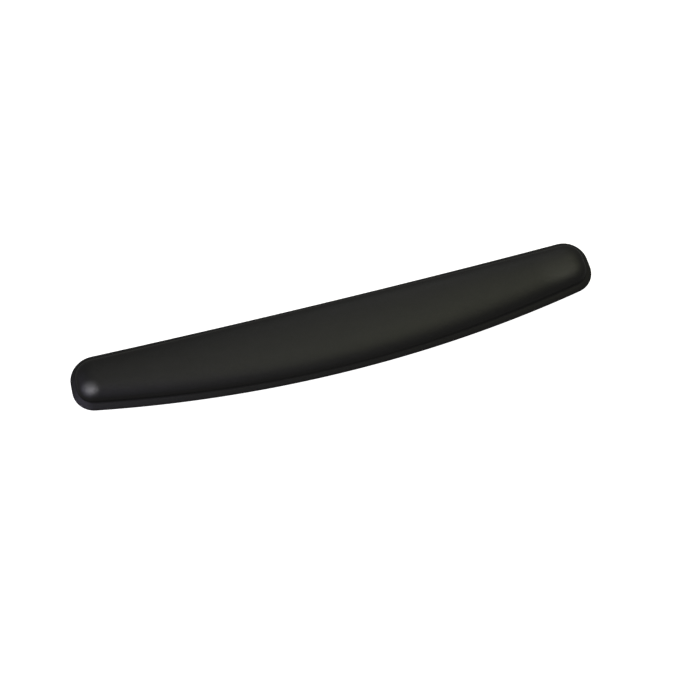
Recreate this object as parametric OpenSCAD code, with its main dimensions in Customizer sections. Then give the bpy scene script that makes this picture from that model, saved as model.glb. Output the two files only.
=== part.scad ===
// Gel wrist rest for a keyboard: a leatherette cover formed over a gel pouch,
// rolled round the edge of a thin base plate and tucked under it, on a nonskid sheet.
// X runs along the rest, Y from the user (front, -Y) to the keyboard (back, +Y), Z up.
// The origin is on the desk, in the middle of the footprint.

/* [Overall size] */
// Length from end to end
length = 482; // [430:1:520]
// Depth of the base across the middle
mid_depth = 70; // [66:0.5:80]
// Height from the desk to the crown of the pad
total_h = 19; // [18:0.5:24]

/* [Outline] */
// How far the front edge bows out between its ends
front_bow = 24.7; // [16:0.1:26]
// How far the back edge is hollowed between its ends
back_bow = 2.9; // [1:0.1:6]
// Radius of the four corners
corner_r = 21.5; // [14:0.5:21.5]

/* [Lip and pad] */
// Width of the sloping lip round the pad in the middle of the rest
lip_w = 3.2; // [3:0.1:3.6]
// Slope of the lip at its outer side, in degrees
lip_outer_slope = 48; // [44:1:52]
// Slope of the lip at its inner side, in degrees
lip_inner_slope = 33; // [28:1:36]
// Radius of the crease where the lip turns up into the pad's wall
crease_r = 2.4; // [2:0.1:3]
// How much wider the lip is at the ends, as a share of its width
end_widen = 0.4; // [0:0.05:0.5]
// Fullness of the pad's shoulder across the rest: 2 is an ellipse, more is squarer
shoulder_across = 2.4; // [2:0.1:3]
// Fullness of the pad's shoulder up the rest
shoulder_up = 2.3; // [2:0.1:3]

/* [Layers] */
// Thickness of the leatherette
cover_t = 0.8; // [0.7:0.05:0.9]
// Width of the cover's hem under the plate
hem_w = 9; // [6:0.5:12]
// Thickness of the pouch film
film_t = 0.2; // [0.15:0.05:0.3]
// Thickness of each layer of adhesive
glue_t = 0.1; // [0.05:0.05:0.2]
// Thickness of the nonskid sheet
nonskid_t = 1.2; // [1:0.1:2]
// How far the nonskid sheet stops short of the outer edge
nonskid_inset = 1.6; // [1.5:0.1:4]

/* [Hidden] */

// Steps along each stretch of the outline and of a profile
front_steps = 16;
back_steps = 12;
corner_steps = 8;
dome_steps = 10;
turn_steps = 3;
lip_steps = 3;
crease_steps = 4;
dome_end = 84;                 // degrees up the shoulder at which the crown closes flat
fit_gap = 0.1;                 // clearance round a piece that lies in a recess

// Heights of the layers under the pad, from the desk up
plate_z = nonskid_t + glue_t;              // underside of the plate and of the hem
hem_top_z = plate_z + cover_t;
rebate_z = hem_top_z + glue_t;             // roof of the rebate that takes the hem

// Outside of the lip, as arcs; a point of the profile is [inset, z], and 180 degrees faces outwards
edge_r = cover_t + 0.2;                    // turn from the underside to the edge
tip_r = 2 * cover_t;                       // turn from the edge to the lip
edge_c = [edge_r, plate_z + edge_r];
tip_c = [tip_r, plate_z + edge_r];
lip_from = 90 + lip_outer_slope;
lip_to = 90 + lip_inner_slope;
lip_start = tip_c + tip_r * [cos(lip_from), sin(lip_from)];
lip_r = (lip_w - lip_start[0]) / (sin(lip_outer_slope) - sin(lip_inner_slope));
lip_c = lip_start - lip_r * [cos(lip_from), sin(lip_from)];
lip_end = lip_c + lip_r * [cos(lip_to), sin(lip_to)];
crease_c = lip_end + crease_r * [cos(lip_to), sin(lip_to)];
wall_inset = crease_c[0] + crease_r;       // the pad's wall, where the shoulder starts
wall_z = crease_c[1];
dome_h = (total_h - wall_z) / pow(sin(dome_end), 2 / shoulder_up);

// Plate and pouch
skin = cover_t + film_t;                   // cover and film together, over the gel
rim_top = lip_c + (lip_r - cover_t) * [cos(lip_to), sin(lip_to)];
rim_z = rim_top[1];                        // top of the plate's rim
seal_z = rim_z - film_t;                   // where the two films meet
recess_z = seal_z - film_t - glue_t;       // floor of the recess that takes the pouch
recess_inset = rim_top[0] + fit_gap;       // edge of the recess
seal_inset = recess_inset + fit_gap;       // edge of the pouch's seal
pouch_from = 330;                          // where the pouch's wall leaves the crease
boss_inset = hem_w + 0.3;                  // edge of the plate's underside, inside the hem
hem_glue_w = [edge_r + 0.6, hem_w - 0.5];  // outer and inner edge of the hem's adhesive
sheet_glue_inset = nonskid_inset + 1;      // edge of the nonskid sheet's adhesive

// Circles that make up the outline
half_l = length / 2;
front_r = (half_l * half_l + front_bow * front_bow) / (2 * front_bow);
back_r = (half_l * half_l + back_bow * back_bow) / (2 * back_bow);
corner_x = half_l - corner_r;
front_cy = front_r - mid_depth / 2;
back_cy = back_r + mid_depth / 2;
front_corner_y = front_cy - sqrt(pow(front_r - corner_r, 2) - corner_x * corner_x);
back_corner_y = back_cy - sqrt(pow(back_r + corner_r, 2) - corner_x * corner_x);
y_shift = (mid_depth / 2 - back_corner_y - corner_r) / 2;   // centres the footprint on Y
front_angle = atan2(front_corner_y - front_cy, corner_x);   // where the front arc meets its corner
back_angle = atan2(back_corner_y - back_cy, corner_x);      // where the back arc meets its corner
spine_x = half_l - mid_depth * 0.36;                        // end of the crown's spine

function arc(c, r, from, to, steps) =
    [for (i = [0 : steps]) let (a = from + (to - from) * i / steps) c + r * [cos(a), sin(a)]];
function tail(list) = [for (i = [1 : len(list) - 1]) list[i]];
function mirrored(half) = [for (i = [len(half) - 2 : -1 : 1]) [-half[i][0], half[i][1]]];

// Right half of the outline moved in evenly, from the middle of the front to the middle of the back
function half_outline(inset) =
    let (front = arc([0, front_cy], front_r - inset, -90, front_angle, front_steps),
         corner_1 = arc([corner_x, front_corner_y], corner_r - inset, front_angle, 0, corner_steps),
         corner_2 = arc([corner_x, back_corner_y], corner_r - inset, 0, back_angle + 180, corner_steps),
         back = arc([0, back_cy], back_r + inset, back_angle, -90, back_steps))
    concat(front, tail(corner_1), corner_2, tail(back));

// The whole outline moved in by inset, and by up to end_widen more near the ends
function widen(x) = end_widen * pow(sin(90 * x / half_l), 2);
function outline(inset) =
    let (edge = half_outline(0),
         inner = half_outline(1),
         half = [for (i = [0 : len(edge) - 1])
             edge[i] + (inner[i] - edge[i]) * (inset + widen(edge[i][0]) * min(inset, wall_inset))])
    [for (p = concat(half, mirrored(half))) p + [0, y_shift]];

// The crown's spine has one point for each point of the outline; the ends share its last point
function middle_y(x) =
    (front_cy - sqrt(front_r * front_r - x * x) + back_cy - sqrt(back_r * back_r - x * x)) / 2;
function spine_point(x) = [x, middle_y(x) + y_shift];
function half_spine() =
    concat([for (i = [0 : front_steps]) spine_point(spine_x * i / front_steps)],
           [for (i = [1 : 2 * corner_steps + 1]) spine_point(spine_x)],
           [for (i = [back_steps - 1 : -1 : 0]) spine_point(spine_x * i / back_steps)]);
spine = let (half = half_spine()) concat(half, mirrored(half));

// A ring is the outline moved in by inset, then drawn towards the spine by share, at height z
function ring(inset, z, share = 0) =
    let (edge = outline(inset))
    [for (i = [0 : len(edge) - 1]) let (p = edge[i] + (spine[i] - edge[i]) * share) [p[0], p[1], z]];
function reversed(list) = [for (i = [len(list) - 1 : -1 : 0]) list[i]];

// The surfaces below lie a depth under the outside of the cover
function dome(depth) =
    [for (i = [1 : dome_steps])
        let (a = dome_end * i / dome_steps)
        ring(wall_inset + depth, wall_z - depth + dome_h * pow(sin(a), 2 / shoulder_up),
             1 - pow(cos(a), 2 / shoulder_across))];
function turn(c, r, from, to, steps) = [for (p = arc(c, r, from, to, steps)) ring(p[0], p[1])];
function slope(depth) =
    concat(turn(tip_c, tip_r - depth, 180, lip_from, turn_steps),
           tail(turn(lip_c, lip_r - depth, lip_from, lip_to, lip_steps)));
function lip(depth) =
    concat(turn(edge_c, edge_r - depth, 270, 180, turn_steps),
           tail(slope(depth)),
           tail(turn(crease_c, crease_r + depth, 180 + lip_to, 360, crease_steps)));
function pouch_wall(depth) = turn(crease_c, crease_r + depth, pouch_from, 360, turn_steps);
function pouch_foot(depth, z) = ring(crease_c[0] + (crease_r + depth) * cos(pouch_from), z);

// A closed solid through a list of rings: the first ring is closed facing down, the last facing up
module loft(rings) {
    n = len(rings[0]);
    last = (len(rings) - 1) * n;
    sides = [for (j = [0 : len(rings) - 2]) for (i = [0 : n - 1])
        let (k = (i + 1) % n, a = j * n, b = a + n)
        each [[a + i, b + i, b + k], [a + i, b + k, a + k]]];
    caps = [[for (i = [0 : n - 1]) i], [for (i = [n - 1 : -1 : 0]) last + i]];
    polyhedron(points = [for (r = rings) each r], faces = concat(sides, caps), convexity = 6);
}

module flat_layer(inset, z, thickness) {
    translate([0, 0, z]) linear_extrude(thickness) polygon(outline(inset));
}

module nonskid_sheet() {
    color([0.07, 0.07, 0.075]) flat_layer(nonskid_inset, 0, nonskid_t);
}

module nonskid_adhesive() {
    color([0.75, 0.72, 0.62]) flat_layer(sheet_glue_inset, nonskid_t, glue_t);
}

// Band of contact adhesive between the hem and the plate's rebate
module hem_adhesive() {
    color([0.80, 0.68, 0.35])
    difference() {
        flat_layer(hem_glue_w[0], hem_top_z, glue_t);
        flat_layer(hem_glue_w[1], hem_top_z - glue_t, 3 * glue_t);
    }
}

// Moulded plate with a rebate below for the hem and a shallow recess above for the pouch
module base_plate() {
    color([0.12, 0.12, 0.13])
    loft(concat([ring(boss_inset, plate_z), ring(boss_inset, rebate_z), ring(edge_r, rebate_z)],
                slope(cover_t),
                [ring(recess_inset, rim_z), ring(recess_inset, recess_z)]));
}

module pouch_adhesive() {
    color([0.75, 0.72, 0.62]) flat_layer(seal_inset, recess_z, glue_t);
}

module pouch_base_film() {
    color([0.78, 0.82, 0.85]) flat_layer(seal_inset, recess_z + glue_t, film_t);
}

module gel_core() {
    color([0.35, 0.60, 0.80])
    loft(concat([pouch_foot(skin, seal_z)], pouch_wall(skin), dome(skin)));
}

// Formed film with a flat seal round it, over the gel
module pouch_top_film() {
    color([0.78, 0.82, 0.85])
    loft(concat(reversed(dome(skin)), reversed(pouch_wall(skin)),
                [pouch_foot(skin, seal_z), ring(seal_inset, seal_z),
                 ring(seal_inset, rim_z), pouch_foot(cover_t, rim_z)],
                pouch_wall(cover_t), dome(cover_t)));
}

// Formed leatherette: crown, shoulder, crease, sloping lip, rolled edge and the hem under the plate
module leatherette_cover() {
    color([0.10, 0.10, 0.10])
    loft(concat(reversed(dome(cover_t)), reversed(lip(cover_t)),
                [ring(hem_w, hem_top_z), ring(hem_w, plate_z)],
                lip(0), dome(0)));
}

nonskid_sheet();
nonskid_adhesive();
hem_adhesive();
base_plate();
pouch_adhesive();
pouch_base_film();
gel_core();
pouch_top_film();
leatherette_cover();
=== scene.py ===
import math

import bmesh
import bpy
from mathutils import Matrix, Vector


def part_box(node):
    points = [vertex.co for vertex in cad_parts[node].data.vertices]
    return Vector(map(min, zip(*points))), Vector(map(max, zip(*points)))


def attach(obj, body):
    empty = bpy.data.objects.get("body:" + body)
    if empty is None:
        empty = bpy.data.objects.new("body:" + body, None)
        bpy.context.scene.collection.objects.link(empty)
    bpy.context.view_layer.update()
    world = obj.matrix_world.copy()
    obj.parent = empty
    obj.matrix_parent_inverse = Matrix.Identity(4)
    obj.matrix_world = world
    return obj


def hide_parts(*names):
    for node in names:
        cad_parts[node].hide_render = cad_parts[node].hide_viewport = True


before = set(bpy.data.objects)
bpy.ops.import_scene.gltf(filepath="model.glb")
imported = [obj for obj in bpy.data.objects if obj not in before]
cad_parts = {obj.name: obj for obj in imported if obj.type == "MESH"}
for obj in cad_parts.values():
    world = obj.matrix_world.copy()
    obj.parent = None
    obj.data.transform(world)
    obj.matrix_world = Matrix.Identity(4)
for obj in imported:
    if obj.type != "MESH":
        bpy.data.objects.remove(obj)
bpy.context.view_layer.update()        # the CAD nodes, in metres; the rest stands on z = 0
bpy.ops.object.select_all(action="DESELECT")
print("frame loaded:", len(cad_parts), "CAD nodes")

coverLow, coverHigh = [Vector(corner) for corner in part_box("leatherette_cover")]
gelLow, gelHigh = [Vector(corner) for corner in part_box("gel_core")]
sheetLow, sheetHigh = [Vector(corner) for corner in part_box("nonskid_sheet")]


# the outline of the rest, seen from above; lengths are in metres
outline = {
    "frontBow": 0.0247,      # how far the front edge bows out between its ends
    "backBow": 0.0029,       # how far the back edge is hollowed between its ends
    "cornerRadius": 0.0215,
    "longSteps": 84,         # steps along half of the front, and of the back
    "cornerSteps": 13,
    "endSteps": 4,           # steps along the straight of an end
    "spineInset": 0.0252,    # from an end to the end of the crown's spine
    "endWiden": 0.4,         # how much wider the lip is at the ends than in the middle
    "trial": 0.01,           # a trial inset, which shows each point's way inwards
    "merge": 0.00002,        # points closer than this become one
}
halfLength = coverHigh.x
cornerX = halfLength - outline["cornerRadius"]
frontRadius = (halfLength ** 2 + outline["frontBow"] ** 2) / (2 * outline["frontBow"])
backRadius = (halfLength ** 2 + outline["backBow"] ** 2) / (2 * outline["backBow"])
frontReach = math.sqrt((frontRadius - outline["cornerRadius"]) ** 2 - cornerX ** 2)
backReach = math.sqrt((backRadius + outline["cornerRadius"]) ** 2 - cornerX ** 2)
frontCentre = Vector((0, coverLow.y + frontRadius))
frontCorner = Vector((cornerX, frontCentre.y - frontReach))
backCorner = Vector((cornerX, coverHigh.y - outline["cornerRadius"]))
backCentre = Vector((0, backCorner.y + backReach))
frontAngle = math.atan2(-frontReach, cornerX)
backAngle = math.atan2(-backReach, cornerX)


def arc(centre, radius, start, end, steps):
    angles = [start + (end - start) * i / steps for i in range(steps + 1)]
    return [centre + radius * Vector((math.cos(a), math.sin(a))) for a in angles]


def halfOutline(inset):
    # right half of the outline, moved in evenly, from the middle of the front to the middle of the back
    radius = outline["cornerRadius"] - inset
    ends = outline["endSteps"]
    down = -math.pi / 2
    front = arc(frontCentre, frontRadius - inset, down, frontAngle, outline["longSteps"])
    corner1 = arc(frontCorner, radius, frontAngle, 0, outline["cornerSteps"])
    corner2 = arc(backCorner, radius, 0, backAngle + math.pi, outline["cornerSteps"])
    back = arc(backCentre, backRadius + inset, backAngle, down, outline["longSteps"])
    straight = [corner1[-1].lerp(corner2[0], i / ends) for i in range(1, ends)]
    return front + corner1[1:] + straight + corner2 + back[1:]


def mirrored(half):
    return half + [Vector((-p.x, p.y)) for p in reversed(half[1:-1])]


def spinePoint(share):
    # the crown's spine runs midway between the front and back edges
    x = (halfLength - outline["spineInset"]) * share
    frontY = frontCentre.y - math.sqrt(frontRadius ** 2 - x * x)
    backY = backCentre.y - math.sqrt(backRadius ** 2 - x * x)
    return Vector((x, (frontY + backY) / 2))


longShares = [i / outline["longSteps"] for i in range(outline["longSteps"] + 1)]
endPoints = 2 * outline["cornerSteps"] + outline["endSteps"] - 1
spine = mirrored([spinePoint(s) for s in longShares + [1] * endPoints + longShares[::-1]])
outerEdge = mirrored(halfOutline(0))
innerEdge = mirrored(halfOutline(outline["trial"]))
inwards = [(q - p) / outline["trial"] for p, q in zip(outerEdge, innerEdge)]


# the section through the cover, from the underside of its edge to the crown
profile = {
    "edgeRadius": 0.001,      # turn from the underside to the edge
    "tipRadius": 0.0016,      # turn from the edge to the lip
    "lipWidth": 0.0032,       # width of the sloping lip in the middle of the rest
    "lipSlopes": (48, 33),    # slope of the lip at its outer and inner side, in degrees
    "creaseRadius": 0.0024,   # where the lip turns up into the pad's wall
    "pouchFrom": 330,         # where the pouch's wall leaves the crease, in degrees
    "shoulderAcross": 2.4,    # fullness of the shoulder: 2 is an ellipse, more is squarer
    "shoulderUp": 2.3,
    "edgeSteps": 6,
    "tipSteps": 6,
    "lipSteps": 8,
    "creaseSteps": 10,
    "domeSteps": 34,
}
edgeRadius, tipRadius, creaseRadius = [profile[key] for key in ("edgeRadius", "tipRadius", "creaseRadius")]
lipFrom, lipTo = [math.radians(90 + slope) for slope in profile["lipSlopes"]]
outerLip, innerLip = [Vector((math.cos(a), math.sin(a))) for a in (lipFrom, lipTo)]
edgeCentre = Vector((edgeRadius, coverLow.z + edgeRadius))
tipCentre = Vector((tipRadius, edgeCentre.y))
lipStart = tipCentre + tipRadius * outerLip
lipRadius = (profile["lipWidth"] - lipStart.x) / (innerLip.x - outerLip.x)
lipCentre = lipStart - lipRadius * outerLip
creaseCentre = lipCentre + (lipRadius + creaseRadius) * innerLip
wallInset = creaseCentre.x + creaseRadius
wallHeight = creaseCentre.y


def lipRings():
    # inset and height of each ring from the underside of the edge, over the lip, to the pad's wall
    edge = arc(edgeCentre, edgeRadius, 1.5 * math.pi, math.pi, profile["edgeSteps"])
    tip = arc(tipCentre, tipRadius, math.pi, lipFrom, profile["tipSteps"])
    lip = arc(lipCentre, lipRadius, lipFrom, lipTo, profile["lipSteps"])
    crease = arc(creaseCentre, creaseRadius, math.pi + lipTo, 2 * math.pi, profile["creaseSteps"])
    return [tuple(p) for p in edge + tip[1:] + lip[1:] + crease[1:]]


def domeRings(depth=0):
    # the shoulder, a depth below the outside of the cover, from the pad's wall to the crown
    rings = []
    for i in range(1, profile["domeSteps"] + 1):
        angle = math.pi / 2 * i / profile["domeSteps"]
        across = 1 - max(0, math.cos(angle)) ** (2 / profile["shoulderAcross"])
        up = math.sin(angle) ** (2 / profile["shoulderUp"])
        rings.append((wallInset + depth, wallHeight - depth + (coverHigh.z - wallHeight) * up, across))
    rings[-1] = (wallInset + depth, coverHigh.z - depth, 1)
    return rings


def widen(x):
    return outline["endWiden"] * math.sin(math.pi / 2 * x / halfLength) ** 2


def ringPoints(inset, z, share=0):
    # the outline moved in by inset, by more near the ends, then drawn towards the spine by share
    points = []
    for p, inward, crown in zip(outerEdge, inwards, spine):
        edge = p + inward * (inset + widen(p.x) * min(inset, wallInset))
        points.append((*edge.lerp(crown, share), z))
    return points


def placeRing(piece, points):
    # the selected ring takes its new place; every vertex knows its number round the outline
    mesh = bmesh.from_edit_mesh(piece.data)
    around = mesh.verts.layers.int["around"]
    for v in mesh.verts:
        if v.select:
            v.co = points[v[around]]
    bmesh.update_edit_mesh(piece.data)


def ringPiece(name, rings):
    # a surface drawn by extruding one closed edge ring from place to place; it stays in edit mode
    bpy.ops.object.select_all(action="DESELECT")
    bpy.ops.mesh.primitive_circle_add(vertices=len(spine), radius=halfLength)
    piece = bpy.context.object
    piece.name = name
    number = piece.data.attributes.new("around", "INT", "POINT")
    number.data.foreach_set("value", range(len(spine)))
    bpy.ops.object.mode_set(mode="EDIT")
    bpy.ops.mesh.select_mode(type="EDGE")
    bpy.ops.mesh.select_all(action="SELECT")
    placeRing(piece, ringPoints(*rings[0]))
    for ring in rings[1:]:
        bpy.ops.mesh.extrude_edges_move()
        placeRing(piece, ringPoints(*ring))
    bpy.ops.mesh.select_all(action="SELECT")
    bpy.ops.mesh.remove_doubles(threshold=outline["merge"])     # closes a crown along its spine
    return piece


def finishPiece(piece, angle=180):
    bpy.ops.mesh.select_all(action="SELECT")
    bpy.ops.mesh.normals_make_consistent(inside=False)
    bpy.ops.object.mode_set(mode="OBJECT")
    bpy.ops.object.shade_smooth_by_angle(angle=math.radians(angle))
    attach(piece, "root")


def applyModifier(piece, kind, **settings):
    modifier = piece.modifiers.new(kind.lower(), kind)
    for name, value in settings.items():
        setattr(modifier, name, value)
    bpy.ops.object.modifier_apply(modifier=modifier.name)


cover = {
    "thickness": 0.0008,
    "hemWidth": 0.009,        # how far the hem is tucked under the plate
    "hemSteps": 5,
}


def makeCover():
    hemStep = (cover["hemWidth"] - edgeRadius) / cover["hemSteps"]
    hem = [(cover["hemWidth"] - i * hemStep, coverLow.z) for i in range(cover["hemSteps"])]
    piece = ringPiece("leatherette_cover_soft", hem + lipRings() + domeRings())
    finishPiece(piece)
    applyModifier(piece, "SOLIDIFY", thickness=cover["thickness"], offset=-1, use_even_offset=True)
    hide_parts("leatherette_cover")
    print("cover:", len(piece.data.vertices), "vertices")
    return piece


gel = {
    "sharpAngle": 50,         # degrees; an edge sharper than this stays crisp
}


def makeGel():
    depth = coverHigh.z - gelHigh.z
    first = math.radians(profile["pouchFrom"])
    wall = arc(creaseCentre, creaseRadius + depth, first, 2 * math.pi, profile["creaseSteps"])
    rings = [(wall[0].x, gelLow.z)] + [tuple(p) for p in wall] + domeRings(depth)
    piece = ringPiece("gel_core_soft", rings)
    bpy.ops.mesh.fill_holes(sides=0)        # the flat underside
    finishPiece(piece, gel["sharpAngle"])
    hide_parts("gel_core")
    print("gel:", len(piece.data.vertices), "vertices")
    return piece


sheet = {
    "inset": 0.0016,          # from the outer edge of the rest
    "edgeRound": 0.0003,
    "edgeSteps": 4,
    "sharpAngle": 40,
    "studHeight": 0.00025,
    "studRadius": 0.001,
    "studPitch": 0.0036,
    "studSides": 8,
    "studBury": 0.1,          # how far a stud reaches into the sheet, as a share of its height
    "studBevel": 0.3,         # height of the bevel on its lower rim, as a share of its height
    "studSide": 0.92,         # a stud narrows to this share down its side
    "studFace": 0.75,         # and again to this share over its bevel
    "studMargin": 0.002,      # plain border round the studs
}


def inside(x, y, polygon):
    # true when a line from the point along +X crosses the polygon an odd number of times
    crossings = 0
    for (ax, ay, _), (bx, by, _) in zip(polygon, polygon[1:] + polygon[:1]):
        if (ay > y) != (by > y) and x < ax + (bx - ax) * (y - ay) / (by - ay):
            crossings += 1
    return crossings % 2 == 1


def oneStud(x, y):
    # a low round stud whose lower rim is bevelled
    height = sheet["studHeight"]
    side = 1 + sheet["studBury"] - sheet["studBevel"]
    bpy.ops.object.select_all(action="DESELECT")
    bpy.ops.mesh.primitive_circle_add(vertices=sheet["studSides"], radius=sheet["studRadius"],
                                      location=(x, y, 0))
    stud = bpy.context.object
    bpy.ops.object.transform_apply(location=True)
    bpy.ops.object.mode_set(mode="EDIT")
    bpy.ops.mesh.select_all(action="SELECT")
    bpy.ops.transform.translate(value=(0, 0, height * (1 + sheet["studBury"])))
    for down, grow in ((side, sheet["studSide"]), (sheet["studBevel"], sheet["studFace"])):
        bpy.ops.mesh.extrude_edges_move(TRANSFORM_OT_translate={"value": (0, 0, -down * height)})
        bpy.ops.transform.resize(value=(grow, grow, 1))
    bpy.ops.mesh.edge_face_add()
    bpy.ops.object.mode_set(mode="OBJECT")
    return stud


def makeStuds():
    # the stud copied in staggered rows, then those past the border deleted
    pitch = sheet["studPitch"]
    rowGap = pitch * math.sqrt(3) / 2
    columns = math.ceil((sheetHigh.x - sheetLow.x) / pitch)
    rowPairs = math.ceil((sheetHigh.y - sheetLow.y) / rowGap / 2)
    studs = oneStud(-columns / 2 * pitch, sheetLow.y)
    each = len(studs.data.vertices)
    for count, x, y in ((columns, pitch, 0), (2, pitch / 2, rowGap), (rowPairs, 0, 2 * rowGap)):
        applyModifier(studs, "ARRAY", count=count, use_relative_offset=False, use_constant_offset=True,
                      constant_offset_displace=(x, y, 0))
    border = ringPoints(sheet["inset"] + sheet["studMargin"], 0)
    bpy.ops.object.mode_set(mode="EDIT")
    bpy.ops.mesh.select_mode(type="VERT")
    bpy.ops.mesh.select_all(action="DESELECT")
    mesh = bmesh.from_edit_mesh(studs.data)
    mesh.verts.ensure_lookup_table()
    for first in range(0, len(mesh.verts), each):
        stud = mesh.verts[first:first + each]
        x = sum(v.co.x for v in stud) / each
        y = sum(v.co.y for v in stud) / each
        if not inside(x, y, border):
            for v in stud:
                v.select = True
    bmesh.update_edit_mesh(studs.data)
    bpy.ops.mesh.delete(type="VERT")
    bpy.ops.object.mode_set(mode="OBJECT")
    return studs


def makeSheet():
    inset, low, curve = sheet["inset"], sheet["studHeight"], sheet["edgeRound"]
    centre = Vector((inset + curve, low + curve))
    corner = arc(centre, curve, 1.5 * math.pi, math.pi, sheet["edgeSteps"])
    studs = makeStuds()
    piece = ringPiece("nonskid_sheet_studded", [tuple(p) for p in corner] + [(inset, sheetHigh.z)])
    bpy.ops.mesh.fill_holes(sides=0)
    bpy.ops.mesh.normals_make_consistent(inside=False)
    bpy.ops.object.mode_set(mode="OBJECT")
    studs.select_set(True)
    bpy.ops.object.join()
    bpy.ops.object.mode_set(mode="EDIT")
    finishPiece(piece, sheet["sharpAngle"])
    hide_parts("nonskid_sheet")
    print("nonskid sheet:", len(piece.data.vertices), "vertices")
    return piece


def newMaterial(name):
    material = bpy.data.materials.new(name)
    material.use_nodes = True
    return material, material.node_tree.nodes, material.node_tree.links


def addNode(nodes, kind, **settings):
    # a node of the given kind; a setting is a socket's value, or the node's own property
    node = nodes.new("ShaderNode" + kind)
    for name, value in settings.items():
        if name in node.inputs:
            node.inputs[name].default_value = value
        else:
            setattr(node, name, value)
    return node


leather = {
    "colour": (0.005, 0.005, 0.005, 1),
    # painted shade: the pebbles' creases are coloured darker than their tops
    "paintedCreaseShade": (0.003, 0.003, 0.003, 1),
    "roughness": 0.4,
    "creaseRoughness": 0.55,
    "pebbles": 1250,          # pebbles of the grain to a metre
    "pebbleEdge": 0.32,       # how far from its crease a pebble is rounded
    "grainDepth": 0.00003,
    "wobbles": 420,           # waves to a metre that bend the creases, and how far they bend them
    "wobbleDepth": 0.0005,
    "fineGrain": 2600,        # fine grain on the pebbles, waves to a metre, and its share of the depth
    "fineShare": 0.35,
    "polishPatches": 35,      # patches to a metre with more or less shine
    "polishSpread": 0.05,
}


def makeLeather():
    material, nodes, links = newMaterial("black leatherette")
    shader = nodes["Principled BSDF"]
    place = nodes.new("ShaderNodeTexCoord")
    wobble = addNode(nodes, "TexNoise", Scale=leather["wobbles"], Detail=2)
    shifted = addNode(nodes, "VectorMath", operation="MULTIPLY_ADD")
    shifted.inputs[1].default_value = [leather["wobbleDepth"]] * 3
    links.new(place.outputs["Object"], wobble.inputs["Vector"])
    links.new(wobble.outputs["Color"], shifted.inputs[0])
    links.new(place.outputs["Object"], shifted.inputs[2])
    pebbles = addNode(nodes, "TexVoronoi", feature="DISTANCE_TO_EDGE", Scale=leather["pebbles"])
    links.new(shifted.outputs[0], pebbles.inputs["Vector"])
    domes = addNode(nodes, "MapRange", interpolation_type="SMOOTHERSTEP")
    domes.inputs["From Max"].default_value = leather["pebbleEdge"]
    links.new(pebbles.outputs["Distance"], domes.inputs["Value"])
    fine = addNode(nodes, "TexNoise", Scale=leather["fineGrain"], Detail=3, Roughness=0.6)
    links.new(place.outputs["Object"], fine.inputs["Vector"])
    height = addNode(nodes, "Math", operation="MULTIPLY_ADD")
    height.inputs[1].default_value = leather["fineShare"]
    links.new(fine.outputs["Fac"], height.inputs[0])
    links.new(domes.outputs["Result"], height.inputs[2])
    bump = addNode(nodes, "Bump", Strength=1.0, Distance=leather["grainDepth"])
    links.new(height.outputs[0], bump.inputs["Height"])
    links.new(bump.outputs["Normal"], shader.inputs["Normal"])
    # painted shade: the grain's creases get the darker colour, the pebble tops the plain one
    tone = addNode(nodes, "Mix", data_type="RGBA")
    tone.inputs["A"].default_value = leather["paintedCreaseShade"]
    tone.inputs["B"].default_value = leather["colour"]
    links.new(domes.outputs["Result"], tone.inputs["Factor"])
    links.new(tone.outputs["Result"], shader.inputs["Base Color"])
    polish = addNode(nodes, "TexNoise", Scale=leather["polishPatches"], Detail=3)
    links.new(place.outputs["Object"], polish.inputs["Vector"])
    shine = addNode(nodes, "MapRange")
    shine.inputs["To Min"].default_value = leather["roughness"] + leather["polishSpread"]
    shine.inputs["To Max"].default_value = leather["roughness"] - leather["polishSpread"]
    links.new(polish.outputs["Fac"], shine.inputs["Value"])
    matt = addNode(nodes, "Mix")
    matt.inputs["A"].default_value = leather["creaseRoughness"]
    links.new(domes.outputs["Result"], matt.inputs["Factor"])
    links.new(shine.outputs["Result"], matt.inputs["B"])
    links.new(matt.outputs["Result"], shader.inputs["Roughness"])
    return material


finishes = {
    # the patches, so many to a metre, run between the two colours and the two values of roughness;
    # the texture has so many waves to a metre, and depth is how deep it is
    "nonskid_rubber": {
        "colours": ((0.018, 0.018, 0.019, 1), (0.035, 0.035, 0.036, 1)),
        "patches": 60, "roughness": (0.7, 0.9), "texture": 2500, "depth": 0.00006,
    },
    "base_plastic": {
        "colours": ((0.030, 0.030, 0.032, 1), (0.042, 0.042, 0.044, 1)),
        "patches": 40, "roughness": (0.42, 0.56), "texture": 1800, "depth": 0.00003,
    },
    "gel": {
        "colours": ((0.24, 0.42, 0.60, 1), (0.34, 0.54, 0.70, 1)),
        "patches": 25, "roughness": (0.14, 0.26), "texture": 120, "depth": 0.00010,
        "subsurface": 0.4, "transmission": 0.35,
    },
    "pouch_film": {
        "colours": ((0.78, 0.82, 0.85, 1), (0.84, 0.87, 0.89, 1)),
        "patches": 30, "roughness": (0.08, 0.20), "texture": 160, "depth": 0.00012,
        "transmission": 0.85,
    },
    "sheet_adhesive": {
        "colours": ((0.66, 0.61, 0.48, 1), (0.80, 0.76, 0.65, 1)),
        "patches": 70, "roughness": (0.35, 0.60), "texture": 700, "depth": 0.00004,
    },
    "contact_adhesive": {
        "colours": ((0.52, 0.36, 0.12, 1), (0.76, 0.60, 0.30, 1)),
        "patches": 120, "roughness": (0.25, 0.55), "texture": 500, "depth": 0.00008,
    },
}
scatterDepth = 0.01     # how far light spreads inside a soft finish


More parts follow.
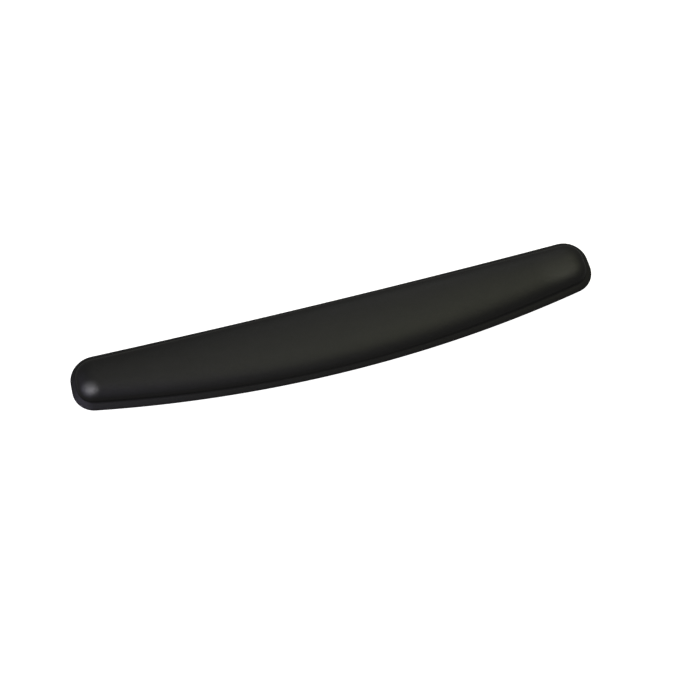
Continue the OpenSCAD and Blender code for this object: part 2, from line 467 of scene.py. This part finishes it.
def makeFinish(slot):
    look = finishes[slot]
    material, nodes, links = newMaterial(slot.replace("_", " "))
    shader = nodes["Principled BSDF"]
    shader.inputs["Subsurface Weight"].default_value = look.get("subsurface", 0)
    shader.inputs["Subsurface Scale"].default_value = scatterDepth
    shader.inputs["Transmission Weight"].default_value = look.get("transmission", 0)
    place = nodes.new("ShaderNodeTexCoord")
    patches = addNode(nodes, "TexNoise", Scale=look["patches"], Detail=4)
    links.new(place.outputs["Object"], patches.inputs["Vector"])
    tone = addNode(nodes, "Mix", data_type="RGBA")
    tone.inputs["A"].default_value, tone.inputs["B"].default_value = look["colours"]
    links.new(patches.outputs["Fac"], tone.inputs["Factor"])
    links.new(tone.outputs["Result"], shader.inputs["Base Color"])
    shine = addNode(nodes, "MapRange")
    shine.inputs["To Min"].default_value, shine.inputs["To Max"].default_value = look["roughness"]
    links.new(patches.outputs["Fac"], shine.inputs["Value"])
    links.new(shine.outputs["Result"], shader.inputs["Roughness"])
    texture = addNode(nodes, "TexNoise", Scale=look["texture"], Detail=3)
    links.new(place.outputs["Object"], texture.inputs["Vector"])
    bump = addNode(nodes, "Bump", Distance=look["depth"])
    links.new(texture.outputs["Fac"], bump.inputs["Height"])
    links.new(bump.outputs["Normal"], shader.inputs["Normal"])
    return material


def dress(piece, material):
    if not piece.material_slots:
        piece.data.materials.append(material)
    for place in piece.material_slots:
        place.material = material


camera = {
    "azimuth": -14.9,        # degrees; 0 looks along +Y
    "elevation": 68,
    "distance": 0.969,
    "lens": 56.1,
    "target": (0.0052, -0.0191, 0.008),
}

lampDistance = 1.6      # from the middle of the rest
lampSize = 0.5
spotSize = 0.002
warm = (0.98, 1.0, 0.68)
neutral = (1.0, 1.0, 1.0)
cool = (0.75, 0.70, 1.0)
lamps = {
    # azimuth and elevation in degrees (0 is in front, 90 to the right), watts, colour
    "above": (0, 90, 1.2, warm),
    "backHigh": (180, 70, 1.0, neutral),
    "rightBackHigh": (120, 70, 1.0, warm),
    "rightFrontHigh": (60, 70, 0.9, warm),
    "leftHigh": (300, 70, 1.0, cool),
    "frontHigh": (0, 70, 0.5, warm),
    "rightMiddle": (110, 50, 2, warm),
    "leftLow": (270, 30, 3, cool),
    "leftFrontLow": (300, 30, 3, cool),
    "backLow": (165, 35, 1.5, neutral),
    "frontLow": (0, 30, 0.4, neutral),
}

spots = {
    # narrow lamps, each for one highlight:
    # azimuth, elevation and distance, aim, cone in degrees, watts, colour
    "leftHighlight": ((295, 55, 1.2), (-0.224, 0, 0.017), 0.33, 47, (0.96, 0.95, 1.0)),
    "rightHighlight": ((65, 65, 1.2), (0.21, 0.01, 0.018), 2.6, 7, (1.0, 1.0, 0.85)),
}


def direction(azimuth, elevation):
    azimuth, elevation = math.radians(azimuth), math.radians(elevation)
    level = math.cos(elevation)
    return Vector((math.sin(azimuth) * level, -math.cos(azimuth) * level, math.sin(elevation)))


ground = {
    "sides": 96,
    "radius": 5,
    # the rim's steps outwards: how far up each rises, and how much wider it grows
    "rim": ((0.15, 1.08), (0.45, 1.06), (1.2, 1.05), (4, 1.04)),
    "colour": (0.8, 0.8, 0.8, 1),
    "roughness": 0.9,
    "glow": 1,
}


def makeFloor():
    # a wide pale floor that rises at its rim, so that it is also the backdrop of a low view
    bpy.ops.object.select_all(action="DESELECT")
    bpy.ops.mesh.primitive_circle_add(vertices=ground["sides"], radius=ground["radius"],
                                      fill_type="NGON")
    floor = bpy.context.object
    floor.name = "floor"
    bpy.ops.object.mode_set(mode="EDIT")
    bpy.ops.mesh.select_mode(type="EDGE")
    bpy.ops.mesh.select_all(action="SELECT")
    bpy.ops.mesh.region_to_loop()
    for rise, grow in ground["rim"]:
        bpy.ops.mesh.extrude_edges_move(TRANSFORM_OT_translate={"value": (0, 0, rise)})
        bpy.ops.transform.resize(value=(grow, grow, 1))
    bpy.ops.object.mode_set(mode="OBJECT")
    material, nodes, links = newMaterial("pale floor")
    shader = nodes["Principled BSDF"]
    shader.inputs["Base Color"].default_value = ground["colour"]
    shader.inputs["Roughness"].default_value = ground["roughness"]
    shader.inputs["Emission Color"].default_value = (1, 1, 1, 1)
    shader.inputs["Emission Strength"].default_value = ground["glow"]
    dress(floor, material)
    # it is evenly white and takes no shadow, and it throws no light on the rest
    floor.visible_diffuse = False
    floor.visible_glossy = False
    floor.visible_transmission = False
    floor.visible_shadow = False


def makeCamera():
    back = direction(camera["azimuth"], camera["elevation"])
    data = bpy.data.cameras.new("camera")
    data.lens = camera["lens"]
    eye = bpy.data.objects.new("camera", data)
    eye.location = Vector(camera["target"]) + back * camera["distance"]
    eye.rotation_euler = (-back).to_track_quat("-Z", "Y").to_euler()
    bpy.context.scene.collection.objects.link(eye)
    bpy.context.scene.camera = eye


def makeLamp(name, azimuth, elevation, power, colour):
    away = direction(azimuth, elevation)
    data = bpy.data.lights.new(name, "AREA")
    data.shape = "DISK"
    data.size = lampSize
    data.energy = power
    data.color = colour
    lamp = bpy.data.objects.new(name, data)
    lamp.location = away * lampDistance
    lamp.rotation_euler = (-away).to_track_quat("-Z", "Y").to_euler()
    lamp.visible_camera = False
    bpy.context.scene.collection.objects.link(lamp)


def makeSpot(name, place, aim, cone, power, colour):
    azimuth, elevation, distance = place
    eye = direction(azimuth, elevation) * distance
    data = bpy.data.lights.new(name, "SPOT")
    data.spot_size = math.radians(cone)
    data.spot_blend = 1
    data.shadow_soft_size = spotSize
    data.energy = power
    data.color = colour
    lamp = bpy.data.objects.new(name, data)
    lamp.location = eye
    lamp.rotation_euler = (Vector(aim) - eye).to_track_quat("-Z", "Y").to_euler()
    bpy.context.scene.collection.objects.link(lamp)


roomLight = (0.18, 0.18, 0.17, 1)       # even light from all round


def makeWorld():
    world = bpy.data.worlds.new("world")
    world.use_nodes = True
    world.node_tree.nodes["Background"].inputs["Color"].default_value = roomLight
    bpy.context.scene.world = world


dress(makeCover(), makeLeather())
dress(makeGel(), makeFinish("gel"))
dress(makeSheet(), makeFinish("nonskid_rubber"))
film = makeFinish("pouch_film")
paleGlue = makeFinish("sheet_adhesive")
dress(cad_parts["base_plate"], makeFinish("base_plastic"))
dress(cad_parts["hem_adhesive"], makeFinish("contact_adhesive"))
for node in ("pouch_top_film", "pouch_base_film"):
    dress(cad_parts[node], film)
for node in ("pouch_adhesive", "nonskid_adhesive"):
    dress(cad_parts[node], paleGlue)
print("materials done")

makeFloor()
makeCamera()
for name, lamp in lamps.items():
    makeLamp(name, *lamp)
for name, spot in spots.items():
    makeSpot(name, *spot)
makeWorld()
bpy.context.scene.view_settings.view_transform = "Standard"
print("floor, camera and", len(lamps) + len(spots), "lamps done")
